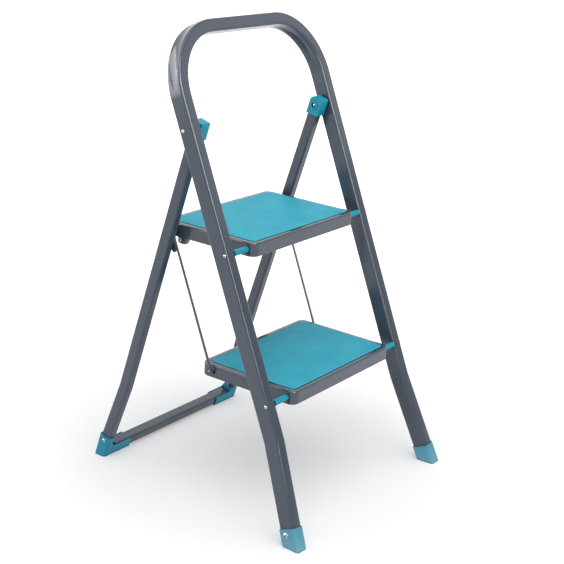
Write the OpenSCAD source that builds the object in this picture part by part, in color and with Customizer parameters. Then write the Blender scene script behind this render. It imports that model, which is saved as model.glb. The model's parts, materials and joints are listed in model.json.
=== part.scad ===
// Folding two-tread step stool: bent tube front frame with a hoop handrail, a rear frame that
// folds forward, two parallel treads joined by link rods, and plastic feet, shoes and caps.
// Millimetres. +X is the width, the user climbs from -Y, +Z is up. The floor is z = 0.

/* [Front frame] */
// Angle of the front frame from the vertical
lean_front = 22.8; // [20:0.1:25]
// Spacing of the front legs, centre to centre
front_spacing = 383.6; // [370:0.2:400]
// Width of the front tube, across the stool
front_tube_x = 22; // [20:0.5:24]
// Depth of the front tube, front to rear
front_tube_n = 29.2; // [28:0.1:32]
// Corner radius of the front tube
front_tube_r = 4.2; // [3:0.1:5]
// Wall of the front tube
front_wall = 1.3; // [1:0.1:1.6]
// Centre line of the handrail's top bar, measured up the leg
rail_height = 845; // [820:1:880]
// Centre line radius of the handrail's bends
rail_bend = 105.5; // [90:0.5:120]
// Depth to which the bend draws the handrail's inner wall in
draw_depth = 2.5; // [0.5:0.1:3]
// Height of the outward kink, measured up the leg
front_kink = 171; // [165:1:180]
// Outward flare of the leg below the kink
front_flare = 6.8; // [5.5:0.1:7]

/* [Rear frame] */
// Angle of the rear frame from the vertical, open
lean_rear = 16.2; // [15:0.1:18]
// Spacing of the rear legs, centre to centre
rear_spacing = 332.6; // [331:0.2:333]
// Width of the rear tube
rear_tube_x = 17.5; // [17:0.1:18]
// Depth of the rear tube
rear_tube_n = 20.2; // [19:0.1:20.4]
// Corner radius of the rear tube
rear_tube_r = 3.6; // [3:0.1:4.5]
// Wall of the rear tube
rear_wall = 1.2; // [1:0.1:1.5]
// Height of the rear leg's outward kink, measured up the leg
rear_kink = 148; // [140:1:155]
// Outward flare of the rear leg below the kink
rear_flare = 6.4; // [5.5:0.1:6.5]

/* [Treads] */
// Rise from one tread to the next
tread_rise = 230; // [225:1:235]
// Height of the lower tread's top
lower_tread_z = 228.6; // [222:0.2:235]
// Width of a tread
tread_x = 292.5; // [288:0.5:292.5]
// Depth of a tread
tread_y = 196; // [190:1:200]
// Height of a tread's skirt
tread_h = 23.7; // [22:0.1:25]
// Plan corner radius of a tread
tread_r = 14; // [10:1:20]
// Sheet thickness of a tread
sheet = 1.2; // [1:0.1:1.5]
// Distance from the tread's front edge back to its axle
axle_back = 15; // [14:0.5:16]
// Depth of the axle below the tread's top
axle_drop = 11.5; // [11:0.1:12]
// Radius of the tread's rolled top edge
rim_roll = 3; // [2:0.1:4]
// Height of the hem folded up inside the skirt
hem_h = 7; // [5:0.5:9]
// Gap between the mat and the wall of its seat
seat_gap = 1; // [0.5:0.1:2]
// Rubber mat standing above the rim
mat_proud = 1; // [0.5:0.1:1.5]

/* [Linkage] */
// Distance from an axle back to the link rod's pivot
link_back = 152.7; // [150:0.1:155]
// Depth of the link rod's pivot below the axle
link_drop = 1.9; // [1.5:0.1:2.5]
// Radius of a link rod
link_r = 2.1; // [1.8:0.1:2.1]
// Height of the hinge between the frames, measured up the front leg
hinge_v = 686.7; // [685:0.1:688]
// Hinge offset behind the front leg's centre line
hinge_n = 6; // [5.5:0.1:6.5]

/* [Hidden] */

// Colours
slate = [0.36, 0.39, 0.42];
teal = [0.16, 0.62, 0.70];
zinc = [0.75, 0.77, 0.80];
dark_steel = [0.22, 0.24, 0.26];

// Clearances: run is a running fit's radial clearance, gap separates pieces that only touch
run = 0.05;
gap = 0.1;
big = 1000;
eps = 0.01;

// Leg half spacings and faces
front_half = front_spacing / 2;
rear_half = rear_spacing / 2;
front_inner = front_half - front_tube_x / 2;
front_outer = front_half + front_tube_x / 2;
rear_inner = rear_half - rear_tube_x / 2;
rear_outer = rear_half + rear_tube_x / 2;
kink_bend = 90;
// How far the straight lengths reach into the kink, and how much the kink is swollen
lap = 1.5;
swell = 0.06;

// Pivots, as [y, z] before the part is centred front to rear
axle_n = -10.2;
lower_axle_z = lower_tread_z - axle_drop;
upper_axle_z = lower_axle_z + tread_rise;
function on_leg(n, z) = [(z + n * sin(lean_front)) * tan(lean_front) + n * cos(lean_front), z];
lower_axle_p = on_leg(axle_n, lower_axle_z);
upper_axle_p = on_leg(axle_n, upper_axle_z);
hinge_p = [
    hinge_v * sin(lean_front) + hinge_n * cos(lean_front),
    hinge_v * cos(lean_front) - hinge_n * sin(lean_front)
];
rear_foot_y = hinge_p[1] * tan(lean_rear) + hinge_p[0];
hinge_up = hinge_p[1] / cos(lean_rear);

// Feet
foot_wall = 2;
foot_x = front_tube_x + 2 * foot_wall;
foot_n = front_tube_n + 2 * foot_wall;
foot_top = 32;
foot_sole = 3.5;
foot_screw_v = 21.5;
foot_screw_n = 3;

// Rear shoes: a collar round the leg and an open channel that holds the crossbar's end
shoe_out = 190.5;
shoe_in = 125;
shoe_half_n = 12.2;
shoe_wall_v = 20.5;
shoe_collar_v = 43;
shoe_ramp_x = 164;
shoe_ramp_r = 12;
shoe_corner = 5;
leg_end_v = 28;
bar_end = 162;
bar_v = 12.7;
shoe_screw_v = 34;
shoe_screw_n = -1.5;
bar_rivet_x = 137;

// Hinge caps
cap_front = -13.5;
cap_rear = 11.3;
cap_low = -18.5;
cap_high = 14.5;
cap_x0 = 155.5;
cap_x1 = rear_half + rear_tube_x / 2 + 1.15;
cap_corner = 7;
cap_boss_r = 7.6;

// Section of the drawn-in wall, and how far either side of the bend's middle it runs
draw_r = 14;
draw_fade = 40;

// Pins
axle_r = 2.5;
pin_r = 2.5;
stud_r = 3;
sleeve_r = 5.1;
tie_r = 5.25;
tie_end_r = 3.9;
tie_back = 142.2;
tie_drop = 17;
tie_lug_r = 5.7;
tie_lug_front = 12;
lug_t = 2;
skirt_x = tread_x / 2;
lug_out = skirt_x - sheet - gap;
link_x = 152.3;
link_elbow = 6;
hook_x0 = 155.4;
hook_x1 = rear_inner - 0.1;
notch_r = stud_r + 0.35;
// Direction in which the stud leaves the notch, above the horizontal of the rear leg's frame
notch_way = 43;
// The stud seen from the hinge, in the rear leg's frame
stud_dy = upper_axle_p[0] + link_back - hinge_p[0];
stud_dz = upper_axle_p[1] - link_drop - hinge_p[1];
stud_n = stud_dy * cos(lean_rear) + stud_dz * sin(lean_rear);
stud_v = stud_dz * cos(lean_rear) - stud_dy * sin(lean_rear);

// The floor depth runs from the front foot's toe to the rear shoe's heel
toe_y = -(foot_n / 2) / cos(lean_front);
heel_y = rear_foot_y + shoe_half_n / cos(lean_rear);
centre_y = (toe_y + heel_y) / 2;

// ---- frames of reference ----
module placed() {
    translate([0, -centre_y, 0]) children();
}

// x across, y to the rear of the leg, z up the leg
module front_plane() {
    placed() rotate([-lean_front, 0, 0]) children();
}

module rear_plane() {
    placed() translate([0, rear_foot_y, 0]) rotate([lean_rear, 0, 0]) children();
}

// The rear leg's frame moved up to the hinge
module rear_hinge() {
    rear_plane() translate([0, 0, hinge_up]) children();
}

// A horizontal frame at a point of the side view
module at_point(p) {
    placed() translate([0, p[0], p[1]]) children();
}

module side(s) {
    mirror([s < 0 ? 1 : 0, 0, 0]) children();
}

module both_sides() {
    for (s = [-1, 1]) side(s) children();
}

// Everything below a height over the floor
module below(z) {
    translate([0, 0, z - big / 2]) cube([2 * big, 2 * big, big], center = true);
}

// ---- shapes ----
module rounded_rect(x, y, r, n = 32) {
    square([x - 2 * r, y], center = true);
    square([x, y - 2 * r], center = true);
    for (sx = [-1, 1], sy = [-1, 1])
        translate([sx * (x / 2 - r), sy * (y / 2 - r)]) circle(r, $fn = n);
}

// The extra goes on the outside and the inside of the wall
module tube_ring(x, y, r, wall, extra) {
    inset = wall + extra;
    difference() {
        rounded_rect(x + 2 * extra, y + 2 * extra, r + extra);
        rounded_rect(x - 2 * inset, y - 2 * inset, r - inset);
    }
}

// A bend in the frame's plane: the children's section is swept about a centre in that plane
module bend(centre, radius, start, angle) {
    translate([centre[0], 0, centre[1]]) rotate([90, 0, 0]) rotate([0, 0, start])
        rotate_extrude(angle = angle, $fn = 120) translate([radius, 0]) children();
}

// The frame of a leg below its kink: the leg runs along -z
module flared(half, kink_v, angle) {
    translate([half, 0, kink_v]) rotate([0, -angle, 0]) children();
}

// One leg: straight from top_v to the kink, bent there, then flared outwards down to the floor.
// The first child is the tube's section, the second is the same a little swollen by the bend.
module leg(half, top_v, kink_v, angle) {
    tangent = kink_bend * tan(angle / 2);
    bend([half + kink_bend, kink_v + tangent], kink_bend, 180, angle) children(1);
    translate([half, 0, kink_v + tangent - lap])
        linear_extrude(top_v - kink_v - tangent + lap) children(0);
    flared(half, kink_v, angle) translate([0, 0, -kink_v - 20])
        linear_extrude(kink_v + 20 - tangent + lap) children(0);
}

// A round bar along x
module bar_x(r, x0, x1) {
    translate([x0, 0, 0]) rotate([0, 90, 0]) cylinder(r = r, h = x1 - x0, $fn = 48);
}

// A plate whose outline is drawn in the side view
module plate_x(x0, x1) {
    translate([x0, 0, 0]) rotate([90, 0, 90]) linear_extrude(x1 - x0) children();
}

// A domed head of height h standing on the plane x = 0 and pointing along +x
module dome_x(r, h) {
    ball = (r * r + h * h) / (2 * h);
    rotate([0, 90, 0]) rotate_extrude($fn = 48) intersection() {
        translate([0, h - ball]) circle(ball, $fn = 96);
        square([r, h]);
    }
}

function arc(cx, cy, r, a0, a1, n = 8) =
    [for (i = [0:n]) let (a = a0 + (a1 - a0) * i / n) [cx + r * cos(a), cy + r * sin(a)]];

// ---- front frame ----
module front_frame() {
    color(slate) difference() {
        front_plane() {
            for (s = [-1, 1]) side(s) {
                leg(front_half, rail_height - rail_bend, front_kink, front_flare) {
                    front_section();
                    front_section(swell);
                }
                rail_corner();
            }
            translate([-(front_half - rail_bend), 0, rail_height]) rotate([0, 90, 0])
                linear_extrude(2 * (front_half - rail_bend)) front_section();
        }
        placed() below(foot_sole + gap);
        for (p = [lower_axle_p, upper_axle_p])
            at_point(p) bar_x(axle_r + run, -front_outer - 5, front_outer + 5);
        at_point(hinge_p) bar_x(pin_r + run, -front_outer - 5, front_outer + 5);
        both_feet() foot_screw_axis() bar_x(2.1, -5, foot_x);
    }
}

// Bending draws the inner wall in along the middle of the bend, and the draw fades out at its ends
module rail_corner() {
    centre = [front_half - rail_bend, rail_height - rail_bend];
    difference() {
        bend(centre, rail_bend, 0, 90) rounded_rect(front_tube_x, front_tube_n, front_tube_r);
        difference() {
            bend(centre, rail_bend, 0, 90) rounded_rect(
                front_tube_x - 2 * front_wall, front_tube_n - 2 * front_wall, front_tube_r - front_wall);
            rail_draw(centre, front_wall);
        }
        rail_draw(centre, 0);
    }
}

module rail_draw(centre, grow) {
    shift = draw_depth / (1 - cos(draw_fade));
    ring = rail_bend - front_tube_x / 2 + draw_depth - draw_r - shift;
    translate([centre[0] + shift / sqrt(2), 0, centre[1] + shift / sqrt(2)]) rotate([90, 0, 0])
        rotate_extrude($fn = 120) translate([ring, 0]) circle(draw_r + grow, $fn = 96);
}

module front_section(extra = 0) {
    tube_ring(front_tube_x, front_tube_n, front_tube_r, front_wall, extra);
}

module both_feet() {
    for (s = [-1, 1]) front_plane() side(s) flared(front_half, front_kink, front_flare) children();
}

// Frame on the foot screw's axis, x pointing outwards from the tube's centre
module foot_screw_axis() {
    translate([0, foot_screw_n, -(front_kink - foot_screw_v) / cos(front_flare)]) children();
}

module front_foot(s) {
    top = -(front_kink - foot_top) / cos(front_flare);
    color(teal) difference() {
        front_plane() side(s) flared(front_half, front_kink, front_flare)
            translate([0, 0, top - 60]) linear_extrude(60)
                rounded_rect(foot_x, foot_n, front_tube_r + foot_wall);
        difference() {
            front_plane() side(s) flared(front_half, front_kink, front_flare)
                translate([0, 0, top - 59]) linear_extrude(80)
                    rounded_rect(front_tube_x + 2 * gap, front_tube_n + 2 * gap, front_tube_r + gap);
            placed() below(foot_sole);
        }
        placed() below(0);
        front_plane() side(s) flared(front_half, front_kink, front_flare)
            foot_screw_axis() bar_x(2.1, 5, foot_x);
    }
}

module front_foot_left() {
    front_foot(-1);
}

module front_foot_right() {
    front_foot(1);
}

module front_foot_screws() {
    color(zinc) both_feet() foot_screw_axis() screw(foot_x / 2 + gap / 2, 11, 5.2, 2.2);
}

// A cross-recessed pan head at x = seat, with its shank running back towards -x
module screw(seat, length, head_r, head_h) {
    difference() {
        union() {
            translate([seat, 0, 0]) dome_x(head_r, head_h);
            bar_x(2, seat - length, seat);
        }
        for (a = [45, 135])
            translate([seat + head_h, 0, 0]) rotate([a, 0, 0])
                cube([1.6 * head_h, 1.3, head_r], center = true);
    }
}

module hinge_pins() {
    color(zinc) at_point(hinge_p) both_sides() {
        bar_x(pin_r, cap_x0 + 1, front_outer);
        translate([front_outer, 0, 0]) dome_x(3.2, 1.6);
        bar_x(3.3, cap_x0 + 1, rear_inner - 0.2);
        translate([cap_x0 + 1, 0, 0]) mirror([1, 0, 0]) dome_x(3.3, 1);
    }
}

module axle(p) {
    color(zinc) at_point(p) {
        bar_x(axle_r, -front_outer, front_outer);
        both_sides() translate([front_outer, 0, 0]) dome_x(3.1, 1.5);
    }
}

module upper_axle() {
    axle(upper_axle_p);
}

module lower_axle() {
    axle(lower_axle_p);
}

module sleeve(p, s) {
    color(teal) at_point(p) side(s) difference() {
        bar_x(sleeve_r, skirt_x + 0.4, front_inner - gap);
        bar_x(axle_r + run, skirt_x, front_inner + 1);
    }
}

module upper_sleeve_left() {
    sleeve(upper_axle_p, -1);
}

module upper_sleeve_right() {
    sleeve(upper_axle_p, 1);
}

module lower_sleeve_left() {
    sleeve(lower_axle_p, -1);
}

module lower_sleeve_right() {
    sleeve(lower_axle_p, 1);
}

// ---- rear frame ----
module rear_section(extra = 0) {
    tube_ring(rear_tube_x, rear_tube_n, rear_tube_r, rear_wall, extra);
}

module rear_leg(s) {
    color(slate) difference() {
        rear_plane() side(s)
            leg(rear_half, hinge_up + cap_high - 2.5, rear_kink, rear_flare) {
                rear_section();
                rear_section(swell);
            }
        rear_plane() below(leg_end_v);
        rear_hinge() side(s) {
            bar_x(pin_r + run, rear_inner - 5, rear_outer + 5);
            for (p = hook_rivet_points())
                translate([0, p[0], p[1]]) bar_x(1.6, rear_inner - 2, rear_half);
        }
        rear_plane() side(s) shoe_screw_axis() bar_x(2.1, -15, 15);
    }
}

module rear_leg_left() {
    rear_leg(-1);
}

module rear_leg_right() {
    rear_leg(1);
}

// Frame on the shoe screw's axis, x pointing outwards from the leg's centre
module shoe_screw_axis() {
    translate([rear_half + (rear_kink - shoe_screw_v) * tan(rear_flare), shoe_screw_n, shoe_screw_v])
        children();
}

module rear_crossbar() {
    color(slate) difference() {
        rear_plane() translate([-bar_end, 0, bar_v]) rotate([0, 90, 0])
            linear_extrude(2 * bar_end) rear_section();
        crossbar_rivet_places() cylinder(r = 2.1, h = 12, center = true, $fn = 32);
    }
}

// Frames on the rivets that hold the shoes to the crossbar, z pointing out to the rear
module crossbar_rivet_places() {
    rear_plane() for (s = [-1, 1])
        translate([s * bar_rivet_x, shoe_half_n, bar_v]) rotate([-90, 0, 0]) children();
}

module crossbar_rivets() {
    color(zinc) crossbar_rivet_places() {
        translate([0, 0, gap / 2]) rotate([0, -90, 0]) dome_x(3.6, 1.2);
        translate([0, 0, -6]) cylinder(r = 2, h = 6 + gap / 2, $fn = 32);
    }
}

module rear_shoe(s) {
    pocket = 2 * (rear_tube_n / 2 + gap);
    ramp = arc(shoe_ramp_x, shoe_wall_v + shoe_ramp_r, shoe_ramp_r, -90, 0);
    outline = concat(
        [[shoe_in, -8], [shoe_out, -8], [shoe_out, shoe_collar_v],
         [shoe_ramp_x + shoe_ramp_r, shoe_collar_v]],
        [for (i = [len(ramp) - 1:-1:0]) ramp[i]],
        [[shoe_in, shoe_wall_v]]
    );
    color(teal) difference() {
        rear_plane() side(s) intersection() {
            translate([0, shoe_half_n, 0]) rotate([90, 0, 0])
                linear_extrude(2 * shoe_half_n) polygon(outline);
            translate([0, 0, -10]) linear_extrude(shoe_collar_v + 20) union() {
                translate([shoe_in, -shoe_half_n])
                    square([shoe_out - shoe_corner - shoe_in, 2 * shoe_half_n]);
                translate([shoe_in, -shoe_half_n + shoe_corner])
                    square([shoe_out - shoe_in, 2 * (shoe_half_n - shoe_corner)]);
                for (sy = [-1, 1])
                    translate([shoe_out - shoe_corner, sy * (shoe_half_n - shoe_corner)])
                        circle(shoe_corner, $fn = 32);
            }
        }
        rear_plane() side(s) {
            translate([shoe_in - 1, -pocket / 2, bar_v - rear_tube_x / 2 - gap])
                cube([shoe_ramp_x + 8 - shoe_in, pocket, 60]);
            difference() {
                flared(rear_half, rear_kink, rear_flare) translate([0, 0, -rear_kink])
                    linear_extrude(100)
                        rounded_rect(rear_tube_x + 2 * gap, pocket, rear_tube_r + gap);
                below(leg_end_v - gap);
            }
            shoe_screw_axis() bar_x(2.1, 5, 20);
        }
        placed() below(0);
        crossbar_rivet_places() cylinder(r = 2.1, h = 8, center = true, $fn = 32);
    }
}

module rear_shoe_left() {
    rear_shoe(-1);
}

module rear_shoe_right() {
    rear_shoe(1);
}

// The outer face of the collar stands this far from the leg's centre at the screw
function shoe_seat() = shoe_out - rear_half - (rear_kink - shoe_screw_v) * tan(rear_flare);

module rear_shoe_screws() {
    color(zinc) rear_plane() both_sides() shoe_screw_axis()
        screw(shoe_seat() + gap / 2, shoe_seat() + 13, 4.2, 1.9);
}

module rear_shoe_nuts() {
    inner = -(rear_tube_x / 2 / cos(rear_flare)) - 0.6;
    color(zinc) rear_plane() both_sides() shoe_screw_axis() difference() {
        translate([inner - 3.2, 0, 0]) rotate([0, 90, 0]) cylinder(r = 4, h = 3.2, $fn = 6);
        bar_x(2.05, -20, 0);
    }
}

// ---- hinge caps ----
module cap_outline() {
    polygon(concat(
        [[cap_rear, cap_low]],
        arc(cap_rear - cap_corner, cap_high - cap_corner, cap_corner, 0, 90),
        arc(cap_front + 1.5, cap_high - 1.5, 1.5, 90, 180, 3),
        [[cap_front, cap_low + 3], [cap_front + 1.5, cap_low + 1.5]]
    ));
}

module hinge_cap(s) {
    color(teal) rear_hinge() side(s) difference() {
        union() {
            plate_x(cap_x0, cap_x1) cap_outline();
            bar_x(cap_boss_r, cap_x0 - 1.2, cap_x0 + 1);
            // Spacer that keeps the rear leg off the front one
            bar_x(cap_boss_r, cap_x1 - 1, front_inner - 0.4);
        }
        translate([rear_half, 0, cap_low - 1]) linear_extrude(cap_high - cap_low - 1.3)
            rounded_rect(rear_tube_x + 2 * gap, rear_tube_n + 2 * gap, rear_tube_r + gap);
        bar_x(pin_r + run, cap_x0 - 5, front_inner);
        bar_x(4.8, cap_x0 - 5, cap_x0 + 4);
    }
}

module hinge_cap_left() {
    hinge_cap(-1);
}

module hinge_cap_right() {
    hinge_cap(1);
}

// ---- hooks that carry the upper tread's studs ----
function hook_rivet_points() = [[2, -208], [-4, -190]];

module hook(s) {
    color(dark_steel) rear_hinge() side(s) difference() {
        plate_x(hook_x0, hook_x1) difference() {
            polygon(concat(
                [[-8, -206], [-8, stud_v + 11], [8.5, stud_v + 11], [8.5, -209]],
                arc(-12.9, -221, 4.7, -50, -210, 12)
            ));
            translate([stud_n, stud_v]) {
                circle(notch_r, $fn = 32);
                polygon([
                    [-notch_r, 0], [-notch_r, 30], [40, 30],
                    [notch_r * sin(notch_way) + 30, -notch_r * cos(notch_way) + 30 * tan(notch_way)],
                    [notch_r * sin(notch_way), -notch_r * cos(notch_way)]
                ]);
            }
        }
        for (p = hook_rivet_points())
            translate([0, p[0], p[1]]) bar_x(1.6, hook_x0 - 1, hook_x1 + 1);
    }
}

module hook_left() {
    hook(-1);
}

module hook_right() {
    hook(1);
}

// Flush rivets through the plate and the leg's inner wall, upset inside the tube
module hook_rivets() {
    color(dark_steel) rear_hinge() both_sides() for (p = hook_rivet_points())
        translate([0, p[0], p[1]]) {
            bar_x(1.5, hook_x0 + gap, rear_inner + rear_wall + 0.2);
            translate([rear_inner + rear_wall + 0.2, 0, 0]) dome_x(2.6, 1);
        }
}

// ---- treads: the axle is at the origin, the tread reaches back along +y ----
module tread_plan(inset) {
    translate([0, tread_y / 2 - axle_back]) rounded_rect(
        tread_x - 2 * inset, tread_y - 2 * inset, max(tread_r - inset, 1), 64);
}

// Sweeps the children's section round the tread's outline moved in by inset: +x outwards, +y up
module round_the_tread(inset) {
    r = tread_r - inset;
    half = [tread_x / 2 - tread_r, tread_y / 2 - tread_r];
    translate([0, tread_y / 2 - axle_back, 0]) for (turn = [0:3]) {
        across = turn % 2 == 0 ? half[0] : half[1];
        along = turn % 2 == 0 ? half[1] : half[0];
        rotate([0, 0, 90 * turn]) {
            translate([across, along, 0]) rotate_extrude(angle = 90, $fn = 96)
                translate([r, 0]) children();
            translate([across + r, along, 0]) rotate([90, 0, 0]) linear_extrude(2 * along) children();
        }
    }
}

module quarter_disc(r) {
    intersection() {
        circle(r, $fn = 48);
        square(r);
    }
}

// A block with the tread's plan, from the height of the hem's fold up to top, its top edge rounded
module rolled_block(inset, top, roll) {
    bottom = axle_drop - tread_h + sheet;
    translate([0, 0, bottom]) linear_extrude(top - roll - bottom) tread_plan(inset);
    translate([0, 0, top - roll]) linear_extrude(roll) tread_plan(inset + roll);
    translate([0, 0, top - roll]) round_the_tread(inset + roll) quarter_disc(roll);
}

module pan_body() {
    recess = mat_recess();
    bottom = axle_drop - tread_h;
    difference() {
        rolled_block(0, axle_drop, rim_roll);
        difference() {
            union() {
                rolled_block(sheet, axle_drop - sheet, rim_roll - sheet);
                translate([0, 0, bottom]) linear_extrude(2 * sheet) tread_plan(sheet);
            }
            // The seat of the mat stays, and so does the hem
            translate([0, 0, axle_drop - recess - sheet])
                linear_extrude(recess + sheet) mat_plan(seat_gap + sheet);
            hem_return();
        }
        translate([0, 0, axle_drop - recess]) linear_extrude(recess + 1) mat_plan(seat_gap);
        bar_x(axle_r + run, -skirt_x - 5, skirt_x + 5);
        // Relief near each rear corner
        both_sides() plate_x(skirt_x - 6, skirt_x + 1)
            polygon([[169, -15.7 + axle_drop], [165.6, -8.5 + axle_drop], [162.4, -15.7 + axle_drop]]);
    }
    // The fold at the foot of the skirt
    difference() {
        translate([0, 0, bottom + sheet]) round_the_tread(sheet) intersection() {
            circle(sheet, $fn = 48);
            translate([-sheet, -sheet]) square([2 * sheet, sheet]);
        }
        hem_notches();
    }
}

// The skirt's sheet turned back up inside itself
module hem_return() {
    bottom = axle_drop - tread_h;
    difference() {
        translate([0, 0, bottom + sheet]) linear_extrude(hem_h - sheet) difference() {
            tread_plan(sheet);
            tread_plan(2 * sheet);
        }
        hem_notches();
    }
}

// The hem's inner half is cut away where the tie rod's lugs and the link's ends lie against the skirt
module hem_notches() {
    both_sides() translate([skirt_x - 4, 117, axle_drop - tread_h - 1])
        cube([4 - sheet, 42, hem_h + 2]);
}

function mat_recess() = 1.2;

module mat_plan(grow) {
    translate([0, tread_y / 2 - axle_back - 1.5]) rounded_rect(
        tread_x - 19.6 + 2 * grow, tread_y - 19 + 2 * grow, 11 + grow, 64);
}

module mat_body() {
    color(teal) translate([0, 0, axle_drop - mat_recess() + eps])
        linear_extrude(mat_recess() + mat_proud) mat_plan(0);
}

// A hat-section rib that runs across under the sheet
module stiffener_body() {
    top = axle_drop - mat_recess() - sheet - 0.05;
    color(dark_steel) translate([-(skirt_x - 10), 86, top]) rotate([90, 0, 90])
        linear_extrude(2 * (skirt_x - 10)) difference() {
            union() {
                translate([-20, -9]) square([40, 9]);
                translate([-30, -1.2]) square([60, 1.2]);
            }
            translate([-18.8, -7.8]) square([37.6, 9]);
        }
}

module upper_pan() {
    color(slate) at_point(upper_axle_p) difference() {
        pan_body();
        translate([0, link_back, -link_drop]) bar_x(stud_r + run, -skirt_x - 5, skirt_x + 5);
    }
}

module lower_pan() {
    color(slate) at_point(lower_axle_p) difference() {
        pan_body();
        translate([0, link_back, -link_drop]) bar_x(link_r + 0.15, -skirt_x - 5, skirt_x + 5);
    }
}

module upper_mat() {
    at_point(upper_axle_p) mat_body();
}

module lower_mat() {
    at_point(lower_axle_p) mat_body();
}

module upper_stiffener() {
    at_point(upper_axle_p) stiffener_body();
}

module lower_stiffener() {
    at_point(lower_axle_p) stiffener_body();
}

// A rod between the lugs, its ends riveted over outside them
module tie_rod() {
    color(zinc) at_point(upper_axle_p) translate([0, tie_back, -tie_drop]) {
        bar_x(tie_r, -lug_out + lug_t + gap, lug_out - lug_t - gap);
        both_sides() {
            bar_x(tie_end_r, lug_out - lug_t - 1, skirt_x);
            translate([skirt_x, 0, 0]) dome_x(tie_end_r, 1.2);
        }
    }
}

// Plates welded inside the skirt, with a hole for the rod's end
module tie_lugs() {
    color(zinc) at_point(upper_axle_p) both_sides() plate_x(lug_out - lug_t, lug_out) difference() {
        polygon(concat(
            [[tie_back + 3.6, -5]],
            arc(tie_back, -tie_drop, tie_lug_r, 20, -90),
            arc(tie_back - 9.2, tie_lug_front - tie_drop - tie_lug_r, tie_lug_front, -90, -172, 12),
            [[tie_back - 21, -5]]));
        translate([tie_back, -tie_drop]) circle(tie_end_r + run, $fn = 48);
    }
}

// A stud through the skirt: the link rod's eye turns on it and its end rests in the hook
module link_stud(s) {
    color(zinc) at_point(upper_axle_p) translate([0, link_back, -link_drop]) side(s) {
        bar_x(stud_r, skirt_x - sheet - gap, rear_inner - 0.35);
        bar_x(5, skirt_x - sheet - gap - 2, skirt_x - sheet - gap);
        bar_x(4.4, skirt_x + gap, link_x - link_r - gap);
    }
}

module link_stud_left() {
    link_stud(-1);
}

module link_stud_right() {
    link_stud(1);
}

// ---- link rods: parallel to the front legs, from the stud down to the lower tread's skirt ----
module link_frame(s) {
    at_point(upper_axle_p) translate([0, link_back, -link_drop]) rotate([-lean_front, 0, 0])
        side(s) children();
}

link_length = tread_rise / cos(lean_front);

module link_rod(s) {
    color(zinc) link_frame(s) {
        difference() {
            union() {
                bar_x(5.2, link_x - link_r, link_x + link_r);
                translate([link_x, 0, -link_length + link_elbow])
                    cylinder(r = link_r, h = link_length - link_elbow - 2, $fn = 48);
            }
            bar_x(stud_r + run, link_x - 5, link_x + 5);
        }
        bend([link_x - link_elbow, -link_length + link_elbow], link_elbow, 270, 90)
            circle(link_r, $fn = 48);
        translate([0, 0, -link_length]) bar_x(link_r, skirt_x - sheet - 2.6, link_x - link_elbow);
    }
}

module link_rod_left() {
    link_rod(-1);
}

module link_rod_right() {
    link_rod(1);
}

// A push-on ring that keeps the rod's lower end in the skirt
module link_clip(s) {
    color(dark_steel) link_frame(s) translate([0, 0, -link_length]) difference() {
        bar_x(4.6, skirt_x - sheet - 1.2, skirt_x - sheet - 0.3);
        bar_x(link_r + 0.03, skirt_x - 10, skirt_x);
    }
}

module link_clip_left() {
    link_clip(-1);
}

module link_clip_right() {
    link_clip(1);
}

front_frame();
front_foot_left();
front_foot_right();
front_foot_screws();
hinge_pins();
upper_axle();
lower_axle();
upper_sleeve_left();
upper_sleeve_right();
lower_sleeve_left();
lower_sleeve_right();
rear_leg_left();
rear_leg_right();
rear_crossbar();
rear_shoe_left();
rear_shoe_right();
rear_shoe_screws();
rear_shoe_nuts();
crossbar_rivets();
hinge_cap_left();
hinge_cap_right();
hook_left();
hook_right();
hook_rivets();
upper_pan();
upper_mat();
upper_stiffener();
tie_rod();
tie_lugs();
link_stud_left();
link_stud_right();
lower_pan();
lower_mat();
lower_stiffener();
link_rod_left();
link_rod_right();
link_clip_left();
link_clip_right();
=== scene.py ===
"""A folding two-tread step stool: its finishes, tubes, treads and mouldings, and a studio to show it in."""

import json
import math

import bmesh
import bpy
from bpy.props import FloatProperty, FloatVectorProperty, IntProperty, PointerProperty
from mathutils import Matrix, Vector


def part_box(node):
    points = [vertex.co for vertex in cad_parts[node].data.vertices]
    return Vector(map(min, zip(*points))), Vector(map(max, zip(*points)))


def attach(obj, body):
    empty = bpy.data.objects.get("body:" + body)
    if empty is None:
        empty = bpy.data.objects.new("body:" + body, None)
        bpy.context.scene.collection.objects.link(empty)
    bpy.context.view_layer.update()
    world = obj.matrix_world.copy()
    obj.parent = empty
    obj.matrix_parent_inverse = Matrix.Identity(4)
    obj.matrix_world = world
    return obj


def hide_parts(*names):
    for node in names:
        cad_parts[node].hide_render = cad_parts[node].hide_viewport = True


bl_info = {
    "name": "Folding Step Stool",
    "version": (1, 0, 0),
    "blender": (4, 5, 0),
    "location": "3D View > Sidebar > Stool",
    "description": "Models a folding step stool's tubes, treads and mouldings and finishes them",
    "category": "Object",
}

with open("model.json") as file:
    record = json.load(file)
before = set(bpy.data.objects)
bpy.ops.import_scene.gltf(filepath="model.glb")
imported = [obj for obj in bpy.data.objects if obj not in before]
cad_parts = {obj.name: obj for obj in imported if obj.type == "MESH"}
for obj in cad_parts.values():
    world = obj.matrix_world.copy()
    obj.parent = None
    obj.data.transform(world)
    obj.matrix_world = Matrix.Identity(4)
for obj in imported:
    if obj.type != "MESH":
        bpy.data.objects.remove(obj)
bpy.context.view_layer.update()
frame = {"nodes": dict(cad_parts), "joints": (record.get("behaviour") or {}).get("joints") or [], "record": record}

MM = 0.001
JOINTS = {joint["name"]: joint for joint in frame["joints"]}
HINGE = Vector(JOINTS["rear_fold"]["pos_m"])
UPPER_AXLE = Vector(JOINTS["upper_tread_fold"]["pos_m"])
LOWER_AXLE = Vector(JOINTS["lower_tread_fold"]["pos_m"])

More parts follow.
